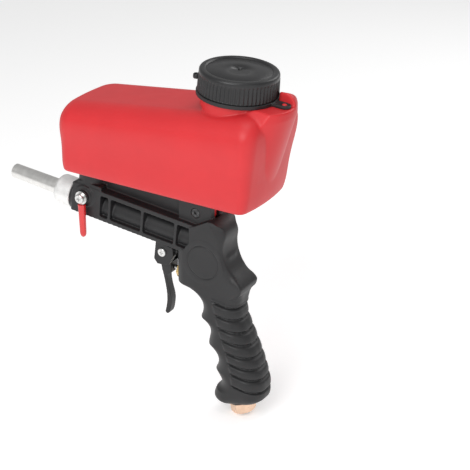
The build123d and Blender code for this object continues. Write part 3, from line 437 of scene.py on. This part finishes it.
# Scoop for the web of the hand: behind its edge line the sides draw in towards the back
EDGE_Z = (106.0, 108.6, 109.4, 114.9, 124.4, 132.3, 144.1, 150.0, 158.0)
EDGE_X = (20.0, 8.0, -0.2, -6.5, -11.4, -13.3, -14.5, -17.0, -24.0)
x, y, z = (points / MM).T
behind = x - np.interp(z, EDGE_Z, EDGE_X)
scoop = (z > 106) & (z < 158.5) & (x > -26) & (np.abs(y) > 3)
draw = 0.9 * ramp(behind, 0.0, 0.9) + 3.2 * ramp(behind, 0.3, 9.0)
draw = draw * ramp(z, 112.0, 119.0) * (1 - ramp(z, 152, 158))
BODY_HALF_WIDTH = 13.0
points[scoop, 1] *= (1 - (draw / BODY_HALF_WIDTH))[scoop]
rounded = ramp(z, 101, 106) * (1 - ramp(z, 152, 157)) * ramp(x, -20, -15)
points = soften(body.data, points, rounded, 40)
x, y, z = (points / MM).T

# Thin ring line round the air valve's side panel
PANEL_X, PANEL_Z, PANEL_RADIUS, PANEL_Y = -28.4, 124.7, 13.2, 13.2
from_panel = np.hypot(x - PANEL_X, z - PANEL_Z)
ring = (np.abs(y) > 12.4) & (from_panel < 18)
flush = np.abs(from_panel - PANEL_RADIUS)
points[ring, 1] = np.sign(y[ring]) * (PANEL_Y - 0.55 * np.exp(-(flush[ring] / 0.45) ** 2)
                                      - 0.1 * ramp(from_panel[ring], 15.5, 17.8)) * MM
set_points(body.data, points)
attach(body, "gun")
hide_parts(*MOULDING)


# ---- Hopper ----------------------------------------------------------------------------------
hopper = skin_of(HOPPER, "hopper_moulding", 0.8 * MM, 4, hopper_red)
points = points_of(hopper.data)
depth = (CAP_TOP - points) @ CAP_UP
across = points - CAP_TOP + depth[:, None] * CAP_UP
reach = np.linalg.norm(across, axis=1)
turn = np.arctan2(across[:, 1], across @ CAP_BACK)
thread = (reach > 23.8 * MM) & (reach < 25.4 * MM) & (depth > 4.6 * MM) & (depth < 16 * MM)
wave = (depth / (THREAD_PITCH * MM) - turn / (2 * pi)) % 1.0
sink = 1.0 * MM * ramp(np.abs(wave - 0.5), 0.18, 0.36)
sink = sink * ramp(depth, 4.6 * MM, 6.2 * MM) * (1 - ramp(depth, 13.4 * MM, 15 * MM))
points[thread] -= (across / reach[:, None] * sink[:, None])[thread]
set_points(hopper.data, points)
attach(hopper, "gun")
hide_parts(*HOPPER)

# ---- Cap -------------------------------------------------------------------------------------
def swept_grid(name, grid, finish, closed_rows=True):
    """Mesh from rows of points that each close on themselves, row after row."""
    rows, columns = grid.shape[:2]
    faces = []
    for row in range(rows if closed_rows else rows - 1):
        after = (row + 1) % rows
        for column in range(columns):
            beside = (column + 1) % columns
            faces.append((row * columns + column, after * columns + column,
                          after * columns + beside, row * columns + beside))
    if not closed_rows:
        faces.append(tuple(range(columns)))
        faces.append(tuple(range((rows - 1) * columns, rows * columns))[::-1])
    mesh = bpy.data.meshes.new(name)
    mesh.from_pydata(grid.reshape(-1, 3).tolist(), [], faces)
    mesh.materials.append(finish.material)
    mesh.shade_smooth()
    piece = bpy.data.objects.new(name, mesh)
    bpy.context.scene.collection.objects.link(piece)
    return piece


def arc(centre_depth, centre_reach, radius, start, end, steps=5):
    """(depth, reach) points of an arc in the cap's section."""
    angles = [radians(start + (end - start) * k / (steps - 1)) for k in range(steps)]
    return [(centre_depth - radius * sin(a), centre_reach + radius * cos(a)) for a in angles]


RIBS = 60
section = [(0.5, 1.5), (0.5, 12.0), (0.5, 22.7)]
section += [(0.75, 23.0), (0.8, 23.3), (0.6, 23.6)]
section += [(0.0, 23.9), (0.0, 25.6)] + arc(1.9, 26.3, 1.9, 90, 12, 7) + [(2.4, 28.28), (3.4, 28.3)]
rib_rows = [(4.0, 28.3), (4.4, 28.32), (4.9, 28.35), (6.0, 28.38), (9.0, 28.5), (12.0, 28.6), (14.8, 28.68)]
section += rib_rows + arc(15.5, 28.2, 0.5, 0, -90, 4)
section += [(16.0, 26.0), (15.7, 25.0)]
section += [(15.7 - 0.3 * k, 25.0) for k in range(1, 42)]
section += [(2.6, 25.0), (2.6, 12.0), (2.6, 1.5), (1.5, 1.5)]
section = np.array(section)
turns = np.linspace(0, 2 * pi, RIBS * 14, endpoint=False)
deep, wide = section[:, 0][:, None], section[:, 1][:, None]
ridge = np.abs(np.cos(turns * RIBS / 2))[None, :] ** 2.2
ribbed = (wide > 28.1) * ramp(deep, 3.6, 4.7) * (1 - ramp(deep, 15.2, 15.9))
in_thread = (np.abs(wide - 25.0) < 0.01) * ramp(deep, 4.4, 6.0) * (1 - ramp(deep, 13.6, 15.2))
wave = (deep / THREAD_PITCH - turns[None, :] / (2 * pi) + 0.5) % 1.0
wide = wide + ribbed * (0.72 * ridge - 0.58) + in_thread * 0.9 * ramp(np.abs(wave - 0.5), 0.18, 0.36)
spokes = np.cos(turns)[None, :, None] * CAP_BACK + np.sin(turns)[None, :, None] * np.array([0.0, 1.0, 0.0])
grid = CAP_TOP + (wide[:, :, None] * spokes - (deep + 0 * wide)[:, :, None] * CAP_UP) * MM
cap = swept_grid("cap_moulding", grid, cap_black)
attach(cap, "cap")
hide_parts("cap")

EYE_TURN = radians(205)
eye_out = cos(EYE_TURN) * CAP_BACK + sin(EYE_TURN) * np.array([0.0, 1.0, 0.0])
eye_along = np.cross(CAP_UP, eye_out)
loop = []
for k in range(28):
    a = 2 * pi * k / 28
    middle = CAP_TOP + (eye_out * (29.6 + 1.9 * cos(a)) + eye_along * 1.9 * sin(a) - CAP_UP * 8.2) * MM
    outward = eye_out * cos(a) + eye_along * sin(a)
    loop.append([middle + (outward * 0.65 * cos(b) + CAP_UP * 1.7 * np.sign(sin(b)) * abs(sin(b)) ** 0.6) * MM
                 for b in np.linspace(0, 2 * pi, 14, endpoint=False)])
eye = swept_grid("cap_eye", np.array(loop), cap_black)
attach(eye, "cap")


# ---- Tether: eased edges, and a dished strap -------------------------------------------------
tether = skin_of(("cap_tether",), "cap_tether_moulding", 0.3 * MM, 3, tether_black)
points = points_of(tether.data)
depth = (CAP_TOP - points) @ CAP_UP / MM
along = (points - CAP_TOP) @ CAP_BACK / MM
from_peg = np.hypot(along - STRAP_REACH, points[:, 1] / MM)
dish = ramp(along, 30.4, 31.2) * (1 - ramp(from_peg, 3.2, 3.8) * (along > STRAP_REACH))
dish = dish * (1 - ramp(np.abs(points[:, 1]) / MM, 3.0, 3.6)) * ramp(17.3 - depth, 0.0, 0.4)
dish = dish * ramp(from_peg, 2.3, 2.7)
points -= CAP_UP * (0.45 * MM * dish)[:, None]
set_points(tether.data, points)
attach(tether, "gun")
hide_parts("cap_tether")


# ---- Trigger ---------------------------------------------------------------------------------
trigger = skin_of(("trigger",), "trigger_moulding", 0.3 * MM, 4, trigger_black)
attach(trigger, "trigger")
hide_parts("trigger")


# ---- Lever's dipped sleeve -------------------------------------------------------------------
low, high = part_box("lever_sleeve")
middle_x, middle_y = (low.x + high.x) / 2, (low.y + high.y) / 2
length = high.z - low.z
rows = []
for share in [0.0, 0.004, 0.02, 0.05, 0.1, 0.2, 0.35, 0.5, 0.65, 0.78, 0.86, 0.91, 0.95, 0.98, 0.995, 1.0]:
    taper = 1.06 - 0.16 * share
    close = 1.0 if share < 0.86 else np.sqrt(max(1 - ((share - 0.86) / 0.14) ** 2, 0.0004))
    lip = 1.06 if share < 0.03 else 1.0
    if share == 0.0:
        lip = 0.9
    half_x, half_y = 2.85 * MM * taper * close * lip, 2.2 * MM * taper * close * lip
    rows.append([(middle_x + half_x * np.sign(cos(a)) * abs(cos(a)) ** 0.8,
                  middle_y + half_y * np.sign(sin(a)) * abs(sin(a)) ** 0.8,
                  high.z - share * length) for a in np.linspace(0, 2 * pi, 40, endpoint=False)])
sleeve = swept_grid("lever_sleeve_vinyl", np.array(rows), sleeve_red, closed_rows=False)
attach(sleeve, "feed_valve")
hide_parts("lever_sleeve")


# ---- CAD pieces that stay: eased edges -------------------------------------------------------
for name, node in nodes.items():
    if not node.hide_render:
        node.data.shade_smooth()
        node.data.set_sharp_from_angle(angle=radians(30))
        ease = node.modifiers.new("ease", "BEVEL")
        ease.width = 0.3 * MM if name == "inlet_fitting" else 0.12 * MM
        ease.segments = 2
        ease.limit_method = "ANGLE"
        ease.angle_limit = radians(35)
        ease.harden_normals = True

# ---- Floor -----------------------------------------------------------------------------------
floor_mesh = bpy.data.meshes.new("floor")
floor_mesh.from_pydata([(-6, -6, 0), (6, -6, 0), (6, 6, 0), (-6, 6, 0)], [], [(0, 1, 2, 3)])
floor_mesh.materials.append(floor_white.material)
floor = bpy.data.objects.new("floor", floor_mesh)
floor.location.z = cad_low.z - 0.3 * MM
bpy.context.scene.collection.objects.link(floor)
